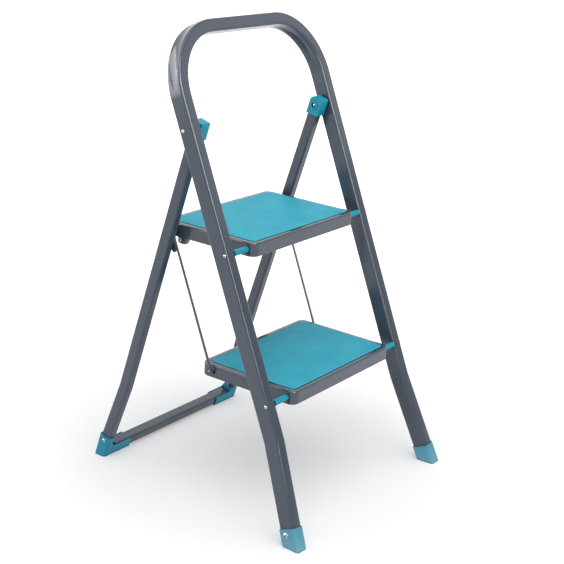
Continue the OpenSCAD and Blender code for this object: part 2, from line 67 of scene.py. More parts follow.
# The axles lie one above the other along the front legs, so the line through them gives their lean
LEAN_FRONT = math.atan2(UPPER_AXLE.y - LOWER_AXLE.y, UPPER_AXLE.z - LOWER_AXLE.z)
LEAN_REAR = math.radians(JOINTS["rear_fold"]["range_deg"][1]) - LEAN_FRONT


# ---------------------------------------------------------------- sizes and colours

def linear(hex_colour):
    """Turns an sRGB hex colour into the linear colour that a shader takes."""
    channels = [int(hex_colour[i:i + 2], 16) / 255 for i in (1, 3, 5)]
    return [c / 12.92 if c <= 0.04045 else ((c + 0.055) / 1.055) ** 2.4 for c in channels] + [1.0]


def measure(name, description, millimetres):
    """A length that the user can change, given in millimetres."""
    return FloatProperty(name=name, description=description, default=millimetres * MM, unit="LENGTH")


def shade(name, description, hex_colour):
    """A colour that the user can change, given as an sRGB hex value."""
    return FloatVectorProperty(
        name=name, description=description, default=linear(hex_colour), size=4, min=0, max=1, subtype="COLOR")


class StoolSizes(bpy.types.PropertyGroup):
    """Sizes of the tubes and the pressed treads"""

    front_half: measure("Front leg offset", "Centre of a front leg from the middle of the stool", 191.8)
    front_width: measure("Front tube width", "Front tube across the stool", 22)
    front_depth: measure("Front tube depth", "Front tube from front to rear", 29.2)
    front_corner: measure("Front tube corner", "Corner radius of the front tube", 4.2)
    axle_offset: measure("Axle offset", "Axles ahead of the front leg's centre line", 10.2)
    rail_height: measure("Handrail height", "Centre of the top bar, measured up the leg", 845)
    rail_bend: measure("Handrail bend", "Centre line radius of the handrail's bends", 105.5)
    draw_depth: measure("Bend draw", "How far the inner wall of a handrail bend is pressed in", 2.5)
    sink_depth: measure("Bend sink", "How far the outer wall of a handrail bend sinks", 2.4)
    front_kink: measure("Front kink height", "Outward kink of the front leg, measured up the leg", 171)
    front_flare: FloatProperty(
        name="Front flare", description="Outward angle of the front leg below its kink",
        default=math.radians(6.8), unit="ROTATION")
    rear_half: measure("Rear leg offset", "Centre of a rear leg from the middle of the stool", 166.3)
    rear_width: measure("Rear tube width", "Rear tube across the stool", 17.5)
    rear_depth: measure("Rear tube depth", "Rear tube from front to rear", 20.2)
    rear_corner: measure("Rear tube corner", "Corner radius of the rear tube", 3.6)
    front_end: measure(
        "Front tube end", "Lower end of the front tube inside its foot, measured up the leg", 14)
    rear_end: measure("Rear tube end", "Lower end of a rear leg inside its shoe, measured up the leg", 28.5)
    rear_top: measure("Rear tube top", "How far a rear leg runs on above the hinge", 11)
    rear_kink: measure("Rear kink height", "Outward kink of the rear leg, measured up the leg", 148)
    rear_flare: FloatProperty(
        name="Rear flare", description="Outward angle of the rear leg below its kink",
        default=math.radians(6.4), unit="ROTATION")
    kink_radius: measure("Kink radius", "Centre line radius of the outward kinks", 90)
    sheet: measure("Sheet thickness", "Steel sheet of the treads", 1.2)
    pan_corner: measure("Tread corner", "Plan corner radius of a tread", 14)
    rim_roll: measure("Rim roll", "Radius of the tread's rolled top edge", 3)
    mat_undercut: measure("Mat undercut", "How far the edge of a mat overhangs its foot", 1.6)
    seat_gap: measure("Seat gap", "Room round a mat in its seat", 1.8)
    hem_height: measure("Hem height", "Height of the skirt's foot where it is folded up inside", 7)
    relief_back: measure(
        "Relief set-back", "Corner relief of the skirt, ahead of the tread's rear edge", 15.3)
    relief_drop: measure("Relief drop", "Corner relief of the skirt, below the tread's top", 13.3)
    rim_step: measure("Rim step", "Depth of the seat that the mat lies in", 1.2)
    mat_corner: measure("Mat corner", "Plan corner radius of a mat", 8)
    mat_edge: measure("Mat edge", "Rounding of the mat's top edge", 0.8)
    seat_edge: measure("Seat edge", "Rounding of the edges of a mat's seat", 0.35)
    foot_edge: measure("Foot edges", "Rounding of a foot's edges", 0.9)
    shoe_edge: measure("Shoe edges", "Rounding of a shoe's edges", 0.7)
    cap_edge: measure("Cap edges", "Rounding of a hinge cap's outer edges", 1.2)
    recess_edge: measure("Recess edges", "Rounding of the edges round the pin in a hinge cap", 0.3)
    sleeve_edge: measure("Sleeve edges", "Rounding of an axle sleeve's edges", 0.4)
    metal_edge: measure("Hardware edges", "Rounding of the rods, rivets, screws, hooks and ribs", 0.2)
    pin_hole: measure("Hinge hole", "Radius of the hinge pin's hole in a rear leg", 2.55)
    screw_hole: measure("Shoe screw hole", "Radius of the shoe screw's hole in a rear leg", 2.1)
    rivet_head: measure("Hook rivet head", "Radius of a hook rivet's inner head", 2.6)
    axle_hole: measure("Axle hole", "Radius of the axle's holes in a tread", 2.6)
    stud_hole: measure("Stud hole", "Radius of the link studs' holes in the upper tread", 3.1)
    link_hole: measure("Link hole", "Radius of the link rods' holes in the lower tread", 2.3)
    relief_radius: measure("Relief size", "Radius of the skirt's three-sided corner relief", 3.8)
    arc_steps: IntProperty(
        name="Arc steps", description="Faces round a tube's corner", default=6, min=2, max=16)


class StoolColours(bpy.types.PropertyGroup):
    """Colours of the finishes, most of them as the two close shades that each drifts between"""

    paint_low: shade("Paint, darker", "Darker shade of the powder coat", "#404a59")
    paint_high: shade("Paint, lighter", "Lighter shade of the powder coat", "#465160")
    cap_low: shade("Caps, darker", "Darker shade of the hinge caps and sleeves", "#0096ae")
    cap_high: shade("Caps, lighter", "Lighter shade of the hinge caps and sleeves", "#02a0b9")
    foot_low: shade("Feet, darker", "Darker shade of the front feet", "#3c8daa")
    foot_high: shade("Feet, lighter", "Lighter shade of the front feet", "#4897b3")
    # Painted light: the paler colour that the feet fade to beside the bright floor
    foot_floor_lit: shade("Feet, rubbed", "Colour of the front feet where they are rubbed at the floor", "#6fadc0")
    shoe_low: shade("Shoes, darker", "Darker shade of the rear shoes", "#1c8ba7")
    shoe_high: shade("Shoes, lighter", "Lighter shade of the rear shoes", "#2494af")
    mat_low: shade("Mats, darker", "Darker shade of the rubber mats", "#0591ad")
    mat_high: shade("Mats, lighter", "Lighter shade of the rubber mats", "#2eb7cc")
    zinc_low: shade("Zinc, darker", "Darker shade of the bright plating", "#8f949b")
    zinc_high: shade("Zinc, lighter", "Lighter shade of the bright plating", "#a3a8ae")
    # The rods' shades are darker than the zinc's: painted shade for the dark stool parts that the rods reflect
    rod_low: shade("Rods, darker", "Darker shade of the link rods' duller plating", "#43484e")
    rod_high: shade("Rods, lighter", "Lighter shade of the link rods' duller plating", "#565b61")
    enamel_low: shade("Enamel, darker", "Darker shade of the hooks' dark enamel", "#33383e")
    enamel_high: shade("Enamel, lighter", "Lighter shade of the hooks' dark enamel", "#3c4148")
    paper: shade("Floor", "Colour of the studio's paper floor", "#ececed")


# ---------------------------------------------------------------- materials

def add_node(tree, kind, inputs=None, **settings):
    """Adds one node, sets it up and fills its inputs with values or with other nodes' outputs."""
    node = tree.nodes.new(kind)
    for key, value in settings.items():
        setattr(node, key, value)
    for key, value in (inputs or {}).items():
        if isinstance(value, bpy.types.NodeSocket):
            tree.links.new(value, node.inputs[key])
        else:
            node.inputs[key].default_value = value
    return node


def new_material(name):
    """Returns a material with only a Principled shader, and its tree and shader."""
    material = bpy.data.materials.new(name)
    material.use_nodes = True
    tree = material.node_tree
    return material, tree, tree.nodes["Principled BSDF"]


def patches(tree, place, size, detail):
    """A soft noise with patches of the given size."""
    return add_node(tree, "ShaderNodeTexNoise",
                    {"Vector": place, "Scale": 1 / size, "Detail": detail}).outputs["Fac"]


def blend_colours(tree, share, first, second):
    """Blends from the first colour to the second as the share goes from 0 to 1."""
    return add_node(tree, "ShaderNodeMix", {"Factor": share, "A": first, "B": second},
                    data_type="RGBA").outputs["Result"]


def mottle(tree, place, size, low, high, detail=3.0):
    """A colour that drifts between two close shades over patches of the given size."""
    return blend_colours(tree, patches(tree, place, size, detail), low, high)


def painted_crevice_shade(tree, colour, reach):
    """Darkens a colour in narrow gaps and close to other surfaces: painted shade where little light gets in."""
    return add_node(tree, "ShaderNodeAmbientOcclusion",
                    {"Color": colour, "Distance": reach}, samples=8).outputs["Color"]


def grain(tree, place, size, depth, strength, detail=2.0):
    """A bump of fine grains of the given size and depth."""
    return add_node(tree, "ShaderNodeBump", {
        "Height": patches(tree, place, size, detail), "Distance": depth,
        "Strength": strength}).outputs["Normal"]


def powder_coat(low, high):
    """Polyester powder coat on steel, sprayed and baked: even slate grey, soft gloss, slight orange peel."""
    material, tree, shader = new_material("powder_coated_steel")
    place = add_node(tree, "ShaderNodeTexCoord").outputs["Object"]
    paint = mottle(tree, place, 60 * MM, low, high)
    # Painted shade darkens the paint in gaps and creases within 6 mm of other surfaces
    tree.links.new(painted_crevice_shade(tree, paint, 6 * MM), shader.inputs["Base Color"])
    # The gloss varies a little over patches of 25 mm, as the sprayed coat's thickness does
    rough = add_node(tree, "ShaderNodeMapRange", {
        "Value": patches(tree, place, 25 * MM, 2.0), "To Min": 0.13, "To Max": 0.18})
    tree.links.new(rough.outputs["Result"], shader.inputs["Roughness"])
    # Orange peel is about 2 mm across, and only a few microns deep
    tree.links.new(grain(tree, place, 2 * MM, 0.05 * MM, 0.12), shader.inputs["Normal"])
    shader.inputs["IOR"].default_value = 1.5
    return material


def lit_from_below(tree, place, colour, floor_lit_colour, height):
    """Fades a colour to a paler one towards the floor: painted light that the bright floor throws up on a foot."""
    above = add_node(tree, "ShaderNodeSeparateXYZ", {"Vector": place}).outputs["Z"]
    floor_light_share = add_node(tree, "ShaderNodeMapRange", {
        "Value": above, "From Min": 0.0, "From Max": height, "To Min": 1.0, "To Max": 0.0})
    return blend_colours(tree, floor_light_share.outputs["Result"], colour, floor_lit_colour)


def moulded_plastic(name, low, high, floor_lit_colour=None):
    """Injection-moulded polypropylene: teal, with the mould's fine spark-eroded grain and a dull sheen."""
    material, tree, shader = new_material(name)
    place = add_node(tree, "ShaderNodeTexCoord").outputs["Object"]
    teal = mottle(tree, place, 18 * MM, low, high)
    # The feet fade paler towards the floor, as painted light from the floor below
    if floor_lit_colour is not None:
        teal = lit_from_below(tree, place, teal, floor_lit_colour, 45 * MM)
    # Painted shade darkens the plastic in gaps and corners within 4 mm of other surfaces
    tree.links.new(painted_crevice_shade(tree, teal, 4 * MM), shader.inputs["Base Color"])
    # The real grain is about 0.1 mm; it is drawn at 0.6 mm, so that it shows from close by
    tree.links.new(grain(tree, place, 0.6 * MM, 0.05 * MM, 0.25), shader.inputs["Normal"])
    shader.inputs["Roughness"].default_value = 0.42
    shader.inputs["Specular IOR Level"].default_value = 0.25
    shader.inputs["IOR"].default_value = 1.49
    return material


def mat_rubber(low, high):
    """Pressed thermoplastic rubber: light teal, matt, faintly blotched, with a pebbled anti-slip face."""
    material, tree, shader = new_material("pressed_rubber_mat")
    place = add_node(tree, "ShaderNodeTexCoord").outputs["Object"]
    rubber = mottle(tree, place, 45 * MM, low, high, detail=4.0)
    # Painted shade darkens the rubber within 2 mm of other surfaces, as the dark line in the gap round the mat's
    # edge
    tree.links.new(painted_crevice_shade(tree, rubber, 2 * MM), shader.inputs["Base Color"])
    # The pebbles are about 1.4 mm across
    tree.links.new(grain(tree, place, 1.4 * MM, 0.12 * MM, 0.25, detail=3.0), shader.inputs["Normal"])
    shader.inputs["Roughness"].default_value = 0.6
    shader.inputs["IOR"].default_value = 1.5
    shader.inputs["Specular IOR Level"].default_value = 0.25
    return material


def zinc_plate(name, low, high):
    """Zinc plating on drawn steel: a cool silver, as it is on the raised parts and darkened by painted shade in
    recesses.
    """
    material, tree, shader = new_material(name)
    place = add_node(tree, "ShaderNodeTexCoord").outputs["Object"]
    silver = mottle(tree, place, 6 * MM, low, high)
    # Painted shade darkens the plating in gaps within 2.5 mm of other surfaces
    tree.links.new(painted_crevice_shade(tree, silver, 2.5 * MM), shader.inputs["Base Color"])
    # The steel under the plating is very slightly uneven, over about 3 mm
    tree.links.new(grain(tree, place, 3 * MM, 0.01 * MM, 0.1), shader.inputs["Normal"])
    shader.inputs["Metallic"].default_value = 1.0
    shader.inputs["Roughness"].default_value = 0.24
    return material


def dark_enamel(low, high):
    """Thin dark enamel on small steel pressings: nearly black, half gloss."""
    material, tree, shader = new_material("dark_enamelled_steel")
    place = add_node(tree, "ShaderNodeTexCoord").outputs["Object"]
    tree.links.new(mottle(tree, place, 15 * MM, low, high), shader.inputs["Base Color"])
    # The thin coat dries with a fine orange peel of about 1.2 mm
    tree.links.new(grain(tree, place, 1.2 * MM, 0.04 * MM, 0.15), shader.inputs["Normal"])
    shader.inputs["Roughness"].default_value = 0.38
    shader.inputs["IOR"].default_value = 1.5
    return material


# The finishes operator fills this: the finish for each material slot, and the special ones by name
FINISHES = {}
SLOT_OF = {entry["node"]: entry["material_slot"] for entry in frame["record"]["subparts"]}


class STOOL_OT_finishes(bpy.types.Operator):
    """Mixes the paint, plastics, rubber and plating"""

    bl_idname = "stool.finishes"
    bl_label = "Finishes"

    def execute(self, context):
        colours = context.scene.stool_colours
        # The first five are named for the record's material slots
        FINISHES.update({
            "slate_paint": powder_coat(colours.paint_low, colours.paint_high),
            "teal_plastic": moulded_plastic("moulded_polypropylene", colours.cap_low, colours.cap_high),
            "teal_rubber": mat_rubber(colours.mat_low, colours.mat_high),
            "zinc": zinc_plate("bright_zinc_plate", colours.zinc_low, colours.zinc_high),
            "dark_steel": dark_enamel(colours.enamel_low, colours.enamel_high),
            # The link rods get a darker copy of the zinc plating: painted shade for the dark stool parts that they
            # reflect
            "shaded_rod_zinc": zinc_plate("shaded_zinc_plate", colours.rod_low, colours.rod_high),
            # The feet are a paler moulding, and the shoes a deeper one
            "foot_plastic": moulded_plastic("moulded_polypropylene_pale", colours.foot_low,
                                            colours.foot_high, colours.foot_floor_lit),
            "shoe_plastic": moulded_plastic("moulded_polypropylene_deep", colours.shoe_low,
                                            colours.shoe_high),
        })
        return {"FINISHED"}


# ---------------------------------------------------------------- modelling helpers

# A drill this long passes through both skirts of a tread
RIGHT_ACROSS = 0.4
# Points closer than this in height lie on the same level
LEVEL = 1e-5


def clear_selection():
    """Leaves object mode with nothing selected."""
    if bpy.context.object and bpy.context.object.mode != "OBJECT":
        bpy.ops.object.mode_set(mode="OBJECT")
    bpy.ops.object.select_all(action="DESELECT")


def activate(piece):
    """Selects one piece alone and makes it the active one."""
    clear_selection()
    piece.select_set(True)
    bpy.context.view_layer.objects.active = piece


def select_parts(piece, kind, test):
    """In edit mode, selects the edges or the faces that pass the test, and says how many."""
    mesh = bmesh.from_edit_mesh(piece.data)
    bpy.ops.mesh.select_mode(type=kind)
    bpy.ops.mesh.select_all(action="DESELECT")
    passed = [part for part in (mesh.edges if kind == "EDGE" else mesh.faces) if test(part)]
    for part in passed:
        part.select = True
    mesh.select_flush_mode()
    bmesh.update_edit_mesh(piece.data)
    return len(passed)


def select_edges(piece, test):
    """In edit mode, selects the edges that pass the test, and says how many."""
    return select_parts(piece, "EDGE", test)


def select_faces(piece, test):
    """In edit mode, selects the faces that pass the test, and says how many."""
    return select_parts(piece, "FACE", test)


def select_level(piece, height):
    """In edit mode, selects the loop of edges at a height."""
    select_edges(piece, lambda edge: all(abs(vertex.co.z - height) < LEVEL for vertex in edge.verts))


def middle(edge):
    """The point halfway along an edge."""
    return (edge.verts[0].co + edge.verts[1].co) / 2


def is_sharp(edge, degrees=35):
    """True for an edge whose two faces meet at more than the given angle."""
    return len(edge.link_faces) == 2 and edge.calc_face_angle() > math.radians(degrees)


def lift(vector):
    """Edit mode: moves what is selected."""
    bpy.ops.transform.translate(value=vector)


def grow_edges(vector):
    """Edit mode: extrudes the selected edge loop along a vector."""
    bpy.ops.mesh.extrude_edges_move(TRANSFORM_OT_translate={"value": vector})


def turn_edges(centre, axis, angle, steps):
    """Edit mode: spins the selected edge loop round an axis."""
    bpy.ops.mesh.spin(steps=steps, dupli=False, angle=angle, center=centre, axis=axis)


def add_profile(name, place, width, depth, corner, steps):
    """Starts a tube: a loop of edges in the horizontal plane at a place. Stays in edit mode."""
    clear_selection()
    bpy.ops.mesh.primitive_plane_add(size=1, enter_editmode=True)
    piece = bpy.context.object
    piece.name = piece.data.name = name
    bpy.ops.transform.resize(value=(width, depth, 1))
    lift(place)
    bpy.ops.mesh.bevel(offset=corner, segments=steps, affect="VERTICES")
    bpy.ops.mesh.select_all(action="SELECT")
    bpy.ops.mesh.delete(type="ONLY_FACE")
    bpy.ops.mesh.select_all(action="SELECT")
    return piece


def close_ends():
    """Edit mode: merges doubles, fills open ends and points every face outwards."""
    bpy.ops.mesh.select_all(action="SELECT")
    bpy.ops.mesh.remove_doubles(threshold=0.005 * MM)
    bpy.ops.mesh.fill_holes(sides=0)
    bpy.ops.mesh.select_all(action="SELECT")
    bpy.ops.mesh.normals_make_consistent(inside=False)
    bpy.ops.object.mode_set(mode="OBJECT")


def apply_modifier(piece, kind, **settings):
    """Adds a modifier, sets it up and applies it."""
    activate(piece)
    modifier = piece.modifiers.new(kind.lower(), kind)
    for key, value in settings.items():
        setattr(modifier, key, value)
    bpy.ops.object.modifier_apply(modifier=modifier.name)


def smooth(piece, degrees=32):
    """Smooth shading that breaks at sharp edges and keeps large flat faces flat."""
    activate(piece)
    bpy.ops.object.shade_smooth_by_angle(angle=math.radians(degrees))
    apply_modifier(piece, "WEIGHTED_NORMAL", keep_sharp=True, weight=90)


def lean(piece, angle, place):
    """Turns a piece about the X axis, moves it and bakes both into its mesh."""
    activate(piece)
    piece.rotation_euler = (angle, 0, 0)
    piece.location = place
    bpy.ops.object.transform_apply(location=True, rotation=True, scale=True)


def finish_piece(piece, body, node, finish=None):
    """Gives a piece its finish, makes it ride on its body and lets it stand for its CAD node."""
    slot = SLOT_OF[node]
    piece.data.materials.clear()
    piece.data.materials.append(FINISHES[finish or slot])
    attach(piece, body)
    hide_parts(node)


def mirrored(piece, name):
    """A copy on the other side of the stool, with its own mesh."""
    activate(piece)
    bpy.ops.object.duplicate()
    other = bpy.context.object
    other.name = other.data.name = name
    other.scale.x = -1
    bpy.ops.object.transform_apply(location=False, rotation=False, scale=True)
    bpy.ops.object.mode_set(mode="EDIT")
    bpy.ops.mesh.select_all(action="SELECT")
    bpy.ops.mesh.normals_make_consistent(inside=False)
    bpy.ops.object.mode_set(mode="OBJECT")
    return other


def merged_copy(node, name):
    """A copy of a CAD node with its triangles joined up and its flat faces made whole."""
    clear_selection()
    piece = frame["nodes"][node].copy()
    piece.data = piece.data.copy()
    for key in [key for key in piece.keys() if key.startswith("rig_")]:
        del piece[key]
    piece.parent = None
    piece.name = piece.data.name = name
    bpy.context.scene.collection.objects.link(piece)
    activate(piece)
    bpy.ops.mesh.customdata_custom_splitnormals_clear()
    bpy.ops.object.mode_set(mode="EDIT")
    bpy.ops.mesh.select_all(action="SELECT")
    bpy.ops.mesh.remove_doubles(threshold=0.01 * MM)
    bpy.ops.mesh.dissolve_limited(angle_limit=math.radians(0.5))
    bpy.ops.object.mode_set(mode="OBJECT")
    return piece


def soften(piece, width, test, steps=3):
    """Rounds the sharp edges of a piece that pass the test."""
    activate(piece)
    bpy.ops.object.mode_set(mode="EDIT")
    if select_edges(piece, lambda edge: is_sharp(edge) and test(edge)):
        bpy.ops.mesh.bevel(offset=width, segments=steps, affect="EDGES", clamp_overlap=True)
    bpy.ops.object.mode_set(mode="OBJECT")


def cut(piece, cutter):
    """Takes a cutter's volume out of a piece, and the cutter away."""
    activate(cutter)
    bpy.ops.object.transform_apply(location=True, rotation=True, scale=True)
    apply_modifier(piece, "BOOLEAN", operation="DIFFERENCE", solver="EXACT", object=cutter)
    bpy.data.objects.remove(cutter)


def drill(piece, radius, place, length=RIGHT_ACROSS, sides=32, stretch=1):
    """Cuts a hole along X through a piece: round, or with a few flat sides and a corner upwards."""
    clear_selection()
    bpy.ops.mesh.primitive_cylinder_add(vertices=sides, radius=radius, depth=length, location=place,
                                        rotation=(math.pi / 2, 0, math.pi / 2))
    bpy.context.object.scale.y = stretch
    cut(piece, bpy.context.object)


# ---------------------------------------------------------------- tubes

def leg_down(half, start_v, kink, flare, end_v, radius):
    """Edit mode: takes the selected loop down a leg, round its outward kink and on to its end."""
    tangent = radius * math.tan(flare / 2)
    grow_edges((0, 0, kink + tangent - start_v))
    turn_edges((half + radius, 0, kink + tangent), (0, 1, 0), flare, steps=5)
    length = (kink - end_v) / math.cos(flare) - tangent
    grow_edges((length * math.sin(flare), 0, -length * math.cos(flare)))


class STOOL_OT_front_tube(bpy.types.Operator):
    """Bends the front frame from one tube: legs, handrail and kinks"""

    bl_idname = "stool.front_tube"
    bl_label = "Front frame"

    @staticmethod
    def draw_in_bends(piece, sizes):
        """Hollows the walls of the handrail's bends, which the bender's former draws in."""
        # A hollow is deepest halfway round its bend and runs out this far to each side
        reach = math.radians(40)
        radius = 14 * MM
        shift = sizes.draw_depth / (1 - math.cos(reach))
        ring = sizes.rail_bend - sizes.front_width / 2 + sizes.draw_depth - radius - shift
        across = sizes.front_half - sizes.rail_bend + shift / math.sqrt(2)
        height = sizes.rail_height - sizes.rail_bend + shift / math.sqrt(2)
        for side in (-1, 1):
            clear_selection()
            bpy.ops.mesh.primitive_torus_add(
                location=(side * across, 0, height), rotation=(math.pi / 2, 0, 0), major_radius=ring,
                minor_radius=radius, major_segments=144, minor_segments=96)
            cut(piece, bpy.context.object)
        # The outer wall sinks in the same way, in a wider and shallower hollow
        radius = 28 * MM
        shift = sizes.sink_depth / (1 - math.cos(reach))
        ring = sizes.rail_bend + sizes.front_width / 2 - sizes.sink_depth + radius + shift
        across = sizes.front_half - sizes.rail_bend - shift / math.sqrt(2)
        height = sizes.rail_height - sizes.rail_bend - shift / math.sqrt(2)
        hollow = add_profile("hollow", (across + ring, 0, height), 2 * radius, 2 * radius, radius,
                             steps=24)
        turn_edges((across, 0, height), (0, 1, 0), math.pi / 2, steps=48)
        close_ends()
        other = mirrored(hollow, "other_hollow")
        cut(piece, hollow)
        cut(piece, other)
        # Slivers along the crease are merged away
        bpy.ops.object.mode_set(mode="EDIT")
        bpy.ops.mesh.select_all(action="SELECT")
        bpy.ops.mesh.remove_doubles(threshold=0.3 * MM)
        bpy.ops.object.mode_set(mode="OBJECT")

    def execute(self, context):
        sizes = context.scene.stool_sizes
        half = sizes.front_half
        # The loop starts on the straight of the leg and is taken up first, then down
        start_v = 0.45
        bend_v = sizes.rail_height - sizes.rail_bend
        piece = add_profile("front_tube", (half, 0, start_v), sizes.front_width, sizes.front_depth,
                            sizes.front_corner, sizes.arc_steps)
        grow_edges((0, 0, bend_v - start_v))
        turn_edges((half - sizes.rail_bend, 0, bend_v), (0, 1, 0), math.pi / 2, steps=24)
        grow_edges((sizes.rail_bend - half, 0, 0))
        select_level(piece, start_v)
        leg_down(half, start_v, sizes.front_kink, sizes.front_flare, sizes.front_end,
                 sizes.kink_radius)
        bpy.ops.object.mode_set(mode="OBJECT")
        apply_modifier(piece, "MIRROR", merge_threshold=0.02 * MM)
        bpy.ops.object.mode_set(mode="EDIT")
        close_ends()
        self.draw_in_bends(piece, sizes)
        # From the axle back to the leg's centre line, and down it to the floor
        backwards = Vector((0, math.cos(LEAN_FRONT), -math.sin(LEAN_FRONT)))
        centre = LOWER_AXLE + sizes.axle_offset * backwards
        lean(piece, -LEAN_FRONT, (0, centre.y - centre.z * math.tan(LEAN_FRONT), 0))
        smooth(piece, degrees=80)
        finish_piece(piece, "front", "front_frame")
        return {"FINISHED"}


class STOOL_OT_rear_tubes(bpy.types.Operator):
    """Bends the two rear legs and cuts the crossbar"""

    bl_idname = "stool.rear_tubes"
    bl_label = "Rear legs and crossbar"

    def execute(self, context):
        sizes = context.scene.stool_sizes
        # As on the front tube, the loop starts on the straight of the leg
        start_v = 0.4
        hinge_v = HINGE.z / math.cos(LEAN_REAR)
        foot = (0, HINGE.y + HINGE.z * math.tan(LEAN_REAR), 0)
        piece = add_profile("rear_tube_right", (sizes.rear_half, 0, start_v), sizes.rear_width,
                            sizes.rear_depth, sizes.rear_corner, sizes.arc_steps)
        grow_edges((0, 0, hinge_v + sizes.rear_top - start_v))
        select_level(piece, start_v)
        leg_down(sizes.rear_half, start_v, sizes.rear_kink, sizes.rear_flare, sizes.rear_end,
                 sizes.kink_radius)
        close_ends()
        lean(piece, LEAN_REAR, foot)
        # The hinge pin runs through both walls with a little play
        drill(piece, sizes.pin_hole, (sizes.rear_half, HINGE.y, HINGE.z), 2 * sizes.rear_depth)
        low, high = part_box("rear_shoe_screws")
        screw = (low + high) / 2
        drill(piece, sizes.screw_hole, (sizes.rear_half, screw.y, screw.z), 3 * sizes.rear_depth)
        # The leg is filled here, so each hook rivet's inner head gets room just inside the inner face
        low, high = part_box("hook_rivets")
        head, play, depth = sizes.rivet_head, 0.05 * MM, 7 * MM
        for y, z in ((low.y + head, high.z - head), (high.y - head, low.z + head)):
            drill(piece, head + play, (high.x - 2.45 * MM, y, z), depth)
        smooth(piece)
        left = mirrored(piece, "rear_tube_left")
        smooth(left)
        finish_piece(piece, "rear", "rear_leg_right")
        finish_piece(left, "rear", "rear_leg_left")

        low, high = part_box("rear_crossbar")
        bar = add_profile("crossbar_tube", (0, 0, -high.x), sizes.rear_width, sizes.rear_depth,
                          sizes.rear_corner, sizes.arc_steps)
        grow_edges((0, 0, 2 * high.x))
        close_ends()
        activate(bar)
        bar.rotation_euler = (0, math.pi / 2, 0)
        bpy.ops.object.transform_apply(rotation=True)
        lean(bar, LEAN_REAR, (0, (low.y + high.y) / 2, (low.z + high.z) / 2))
        smooth(bar)
        finish_piece(bar, "rear", "rear_crossbar")
        return {"FINISHED"}


# ---------------------------------------------------------------- treads

def rounded_block(name, low, high, corner, steps):
    """A block with its upright edges rounded. Stays in edit mode."""
    clear_selection()
    bpy.ops.mesh.primitive_cube_add(size=1, enter_editmode=True)
    piece = bpy.context.object
    piece.name = piece.data.name = name
    bpy.ops.transform.resize(value=high - low)
    lift((low + high) / 2)
    select_edges(piece, lambda edge: abs(edge.verts[0].co.z - edge.verts[1].co.z) > 0.5 * (high - low).z)
    bpy.ops.mesh.bevel(offset=corner, segments=steps, affect="EDGES")
    return piece


def round_top(piece, top, radius, steps):
    """Edit mode: rounds the edge round the top face."""
    select_edges(piece, lambda edge: is_sharp(edge) and abs(middle(edge).z - top) < LEVEL)
    bpy.ops.mesh.bevel(offset=radius, segments=steps, affect="EDGES")


def pressed_pan(name, level, sizes):
    """A tread pressed from sheet: rolled rim, seat for the mat, and a skirt folded up inside at its foot."""
    low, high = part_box(level + "_pan")
    sheet, hem = sizes.sheet, sizes.hem_height
    piece = rounded_block(name, low, high, sizes.pan_corner, steps=10)
    round_top(piece, high.z, sizes.rim_roll, steps=6)
    select_edges(piece, lambda edge: is_sharp(edge) and abs(middle(edge).z - low.z) < LEVEL)
    bpy.ops.mesh.bevel(offset=sheet, segments=4, affect="EDGES")
    select_faces(piece, lambda face: face.normal.z < -0.999
                 and face.calc_center_median().z < low.z + LEVEL)
    # Round the inner half of the fold in steps, then up its inner sheet, out to the skirt and up to the top
    steps = 4
    for step in range(steps):
        start, end = (math.pi / 2 * k / steps for k in (step, step + 1))
        bpy.ops.mesh.inset(thickness=sheet * (math.sin(end) - math.sin(start)), depth=0)
        lift((0, 0, sheet * (math.cos(start) - math.cos(end))))
    bpy.ops.mesh.extrude_region_move(TRANSFORM_OT_translate={"value": (0, 0, hem - sheet)})
    bpy.ops.mesh.extrude_region_move()
    width = high - low
    bpy.ops.transform.resize(value=((width.x - 2 * sheet) / (width.x - 4 * sheet),
                                    (width.y - 2 * sheet) / (width.y - 4 * sheet), 1),
                             center_override=(low + high) / 2)
    bpy.ops.mesh.extrude_region_move(TRANSFORM_OT_translate={
        "value": (0, 0, high.z - low.z - hem - sizes.rim_step - sheet)})
    bpy.ops.object.mode_set(mode="OBJECT")

    mat_low, mat_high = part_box(level + "_mat")
    room = Vector((sizes.seat_gap, sizes.seat_gap, 0))
    seat = rounded_block("seat", Vector((mat_low.x, mat_low.y, high.z - sizes.rim_step)) - room,
                         mat_high + room, sizes.mat_corner + sizes.seat_gap, steps=8)
    bpy.ops.object.mode_set(mode="OBJECT")
    cut(piece, seat)
    soften(piece, sizes.seat_edge, lambda edge: middle(edge).z > high.z - 0.1 * MM
           and edge_inside(edge, mat_low - 2 * room, mat_high + 2 * room), steps=2)
    return piece


def edge_inside(edge, low, high):
    """True for an edge whose middle lies between two corners in plan."""
    place = middle(edge)
    return low.x < place.x < high.x and low.y < place.y < high.y


class STOOL_OT_pans(bpy.types.Operator):
    """Presses the two treads, drills them for their pins and notches them for the tie rod's lugs"""

    bl_idname = "stool.pans"
    bl_label = "Treads"

    def execute(self, context):
        sizes = context.scene.stool_sizes
        stud = Vector(JOINTS["link_right_swing"]["pos_m"])
        for level, axle in (("upper", UPPER_AXLE), ("lower", LOWER_AXLE)):
            low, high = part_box(level + "_pan")
            piece = pressed_pan(level + "_tread", level, sizes)
            drill(piece, sizes.axle_hole, axle)
            link = Vector((0, stud.y, stud.z)) + axle - UPPER_AXLE
            drill(piece, sizes.stud_hole if level == "upper" else sizes.link_hole, link)
            for side in (-1, 1):
                place = Vector((side * high.x, high.y - sizes.relief_back, high.z - sizes.relief_drop))
                drill(piece, sizes.relief_radius, place, 8 * MM, sides=3, stretch=1.26)
                # The fold's inner half is cut away beside the link's end and the lugs
                thickness, length, height = 3 * MM, 42 * MM, 9.5 * MM
                behind_axle, above_foot = 138 * MM, 3 * MM
                clear_selection()
                bpy.ops.mesh.primitive_cube_add(size=1, location=(
                    side * (high.x - sizes.sheet - thickness / 2), axle.y + behind_axle,
                    low.z + above_foot))
                bpy.context.object.scale = (thickness, length, height)
                cut(piece, bpy.context.object)
            smooth(piece)
            finish_piece(piece, level + "_tread", level + "_pan")
        return {"FINISHED"}


